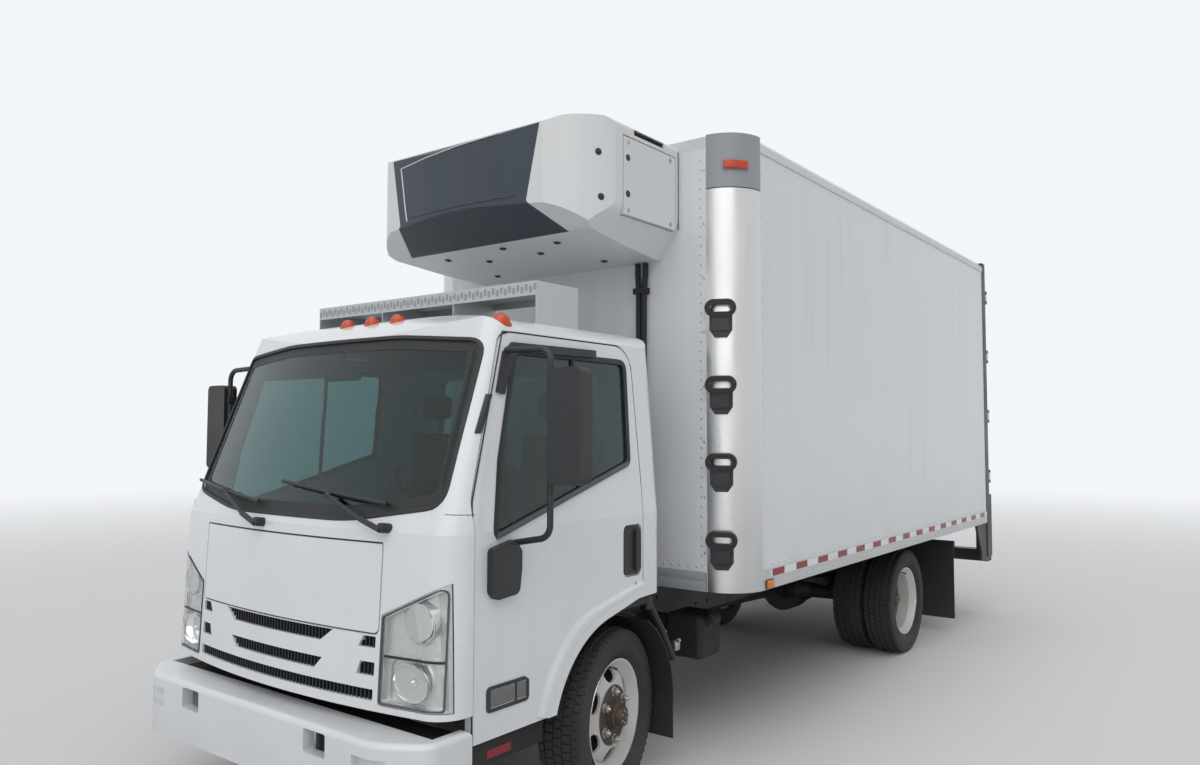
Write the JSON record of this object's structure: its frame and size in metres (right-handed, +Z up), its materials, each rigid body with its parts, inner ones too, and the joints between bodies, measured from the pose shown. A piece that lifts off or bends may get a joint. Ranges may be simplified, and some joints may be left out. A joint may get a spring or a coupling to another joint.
{
  "type": "refrigerated truck",
  "caption": "Low-cab-forward truck with a tilting cab, twin rear wheels, insulated cargo box with swinging rear doors and a nose-mounted cooling unit.",
  "frame": {"origin": "on the ground, at the middle of the bounding box seen from above", "axes": "+X is the truck's own left, where the driver sits; the truck faces -Y; +Z is up"},
  "size_m": [2.69, 7.196, 3.393],
  "materials": {
    "tyre": "matt",
    "wheel_paint": "satin",
    "chassis_black": "satin",
    "engine_grey": "rough",
    "tank_metal": "brushed",
    "exhaust_metal": "rough",
    "black_plastic": "matt",
    "bumper_paint": "gloss",
    "cab_paint": "gloss",
    "glass": "clear",
    "lamp_clear": "clear",
    "lamp_cover": "clear",
    "lamp_red": "clear",
    "floor_rubber": "matt",
    "dash_plastic": "grained",
    "seat_fabric": "woven",
    "catwalk_metal": "tread plate",
    "box_white": "gloss",
    "box_metal": "satin",
    "rear_frame": "satin",
    "mud_rubber": "matt",
    "unit_slate": "satin",
    "unit_white": "satin"
  },
  "bodies": {
    "chassis": {"frame": "chassis_black", "engine": "engine_grey", "front_axle": "chassis_black", "leaf_springs": "chassis_black", "rear_axle": "chassis_black", "fuel_tank": "tank_metal", "side_boxes": "black_plastic", "exhaust": "exhaust_metal", "front_bumper": "bumper_paint", "box_floor": "box_metal", "box_walls": "box_white", "box_roof": "box_white", "corner_posts": "box_white", "box_rails": "box_metal", "box_rear_frame": "rear_frame", "rear_underrun": "chassis_black", "mudguards": "mud_rubber", "grab_steps": "black_plastic", "unit_front_panel": "unit_slate", "unit_housing": "unit_white", "unit_hoses": "mud_rubber", "evaporator": "unit_white"},
    "cab": {"cab_front": "cab_paint", "cab_roof": "cab_paint", "cab_back": "cab_paint", "cab_pillars": "cab_paint", "cab_glass": "glass", "headlamps": "lamp_clear", "lamp_covers": "lamp_cover", "grille": "cab_paint", "cab_floor": "floor_rubber", "step_wells": "floor_rubber", "cab_liners": "black_plastic", "dashboard": "dash_plastic", "seats": "seat_fabric", "marker_lamps": "lamp_red", "catwalk": "catwalk_metal"},
    "service_lid": {"service_lid": "cab_paint"},
    "door_left": {"door_left": "cab_paint", "door_glass_left": "glass", "door_fittings_left": "black_plastic"},
    "door_right": {"door_right": "cab_paint", "door_glass_right": "glass", "door_fittings_right": "black_plastic"},
    "steering_wheel": {"steering_wheel": "dash_plastic"},
    "knuckle_left": {"knuckle_left": "chassis_black"},
    "knuckle_right": {"knuckle_right": "chassis_black"},
    "tie_rod": {"tie_rod": "chassis_black"},
    "front_wheel_left": {"front_tyre_left": "tyre", "front_wheel_left": "wheel_paint"},
    "front_wheel_right": {"front_tyre_right": "tyre", "front_wheel_right": "wheel_paint"},
    "rear_wheels_left": {"rear_tyres_left": "tyre", "rear_wheels_left": "wheel_paint"},
    "rear_wheels_right": {"rear_tyres_right": "tyre", "rear_wheels_right": "wheel_paint"},
    "box_door_left": {"box_door_left": "box_white"},
    "box_door_right": {"box_door_right": "box_white"},
    "unit_door_left": {"unit_door_left": "unit_white"},
    "unit_door_right": {"unit_door_right": "unit_white"}
  },
  "joints": [
    {"name": "cab_tilt", "type": "hinge", "parent": "chassis", "child": "cab", "pos_m": [0, -3.378, 0.78], "axis": [1, 0, 0], "range_deg": [0, 45]},
    {"name": "door_left_swing", "type": "hinge", "parent": "cab", "child": "door_left", "pos_m": [0.992, -3.253, 1.2], "axis": [0, 0, -1], "range_deg": [0, 70]},
    {"name": "door_right_swing", "type": "hinge", "parent": "cab", "child": "door_right", "pos_m": [-0.992, -3.253, 1.2], "axis": [0, 0, 1], "range_deg": [0, 70]},
    {"name": "service_lid_lift", "type": "hinge", "parent": "cab", "child": "service_lid", "pos_m": [0, -3.466, 1.307], "axis": [-1, 0, 0], "range_deg": [0, 60]},
    {"name": "steering_wheel_turn", "type": "hinge", "parent": "cab", "child": "steering_wheel", "pos_m": [0.38, -2.893, 1.46], "axis": [0, 0.6018, 0.7986], "range_deg": [-830, 470]},
    {"name": "steer_left", "type": "hinge", "parent": "chassis", "child": "knuckle_left", "pos_m": [0.69, -2.284, 0.4055], "axis": [0, 0, 1], "range_deg": [-46, 26]},
    {"name": "steer_right", "type": "hinge", "parent": "chassis", "child": "knuckle_right", "pos_m": [-0.69, -2.284, 0.4055], "axis": [0, 0, 1], "range_deg": [-46, 26]},
    {"name": "tie_rod_turn", "type": "hinge", "parent": "knuckle_left", "child": "tie_rod", "pos_m": [0.5754, -2.1062, 0.2915], "axis": [0, 0, 1], "range_deg": [-26, 46]},
    {"name": "front_wheel_left_spin", "type": "hinge", "parent": "knuckle_left", "child": "front_wheel_left", "pos_m": [0.69, -2.284, 0.4055], "axis": [0.9848, 0.1736, 0], "continuous": true},
    {"name": "front_wheel_right_spin", "type": "hinge", "parent": "knuckle_right", "child": "front_wheel_right", "pos_m": [-0.69, -2.284, 0.4055], "axis": [0.9848, 0.1736, 0], "continuous": true},
    {"name": "rear_wheels_left_spin", "type": "hinge", "parent": "chassis", "child": "rear_wheels_left", "pos_m": [0.825, 1.526, 0.4055], "axis": [1, 0, 0], "continuous": true},
    {"name": "rear_wheels_right_spin", "type": "hinge", "parent": "chassis", "child": "rear_wheels_right", "pos_m": [-0.825, 1.526, 0.4055], "axis": [1, 0, 0], "continuous": true},
    {"name": "box_door_left_swing", "type": "hinge", "parent": "chassis", "child": "box_door_left", "pos_m": [1.2072, 3.493, 2.2], "axis": [0, 0, -1], "range_deg": [0, 250]},
    {"name": "box_door_right_swing", "type": "hinge", "parent": "chassis", "child": "box_door_right", "pos_m": [-1.2072, 3.493, 2.2], "axis": [0, 0, 1], "range_deg": [0, 250]},
    {"name": "unit_door_left_swing", "type": "hinge", "parent": "chassis", "child": "unit_door_left", "pos_m": [0.825, -1.56, 3.08], "axis": [0, 0, 1], "range_deg": [0, 75]},
    {"name": "unit_door_right_swing", "type": "hinge", "parent": "chassis", "child": "unit_door_right", "pos_m": [-0.825, -1.56, 3.08], "axis": [0, 0, -1], "range_deg": [0, 75]}
  ],
  "couplings": [
    {"joint": "steer_right", "follows": "steer_left", "ratio": 1},
    {"joint": "tie_rod_turn", "follows": "steer_left", "ratio": -1},
    {"joint": "steering_wheel_turn", "follows": "steer_left", "ratio": 18}
  ]
}
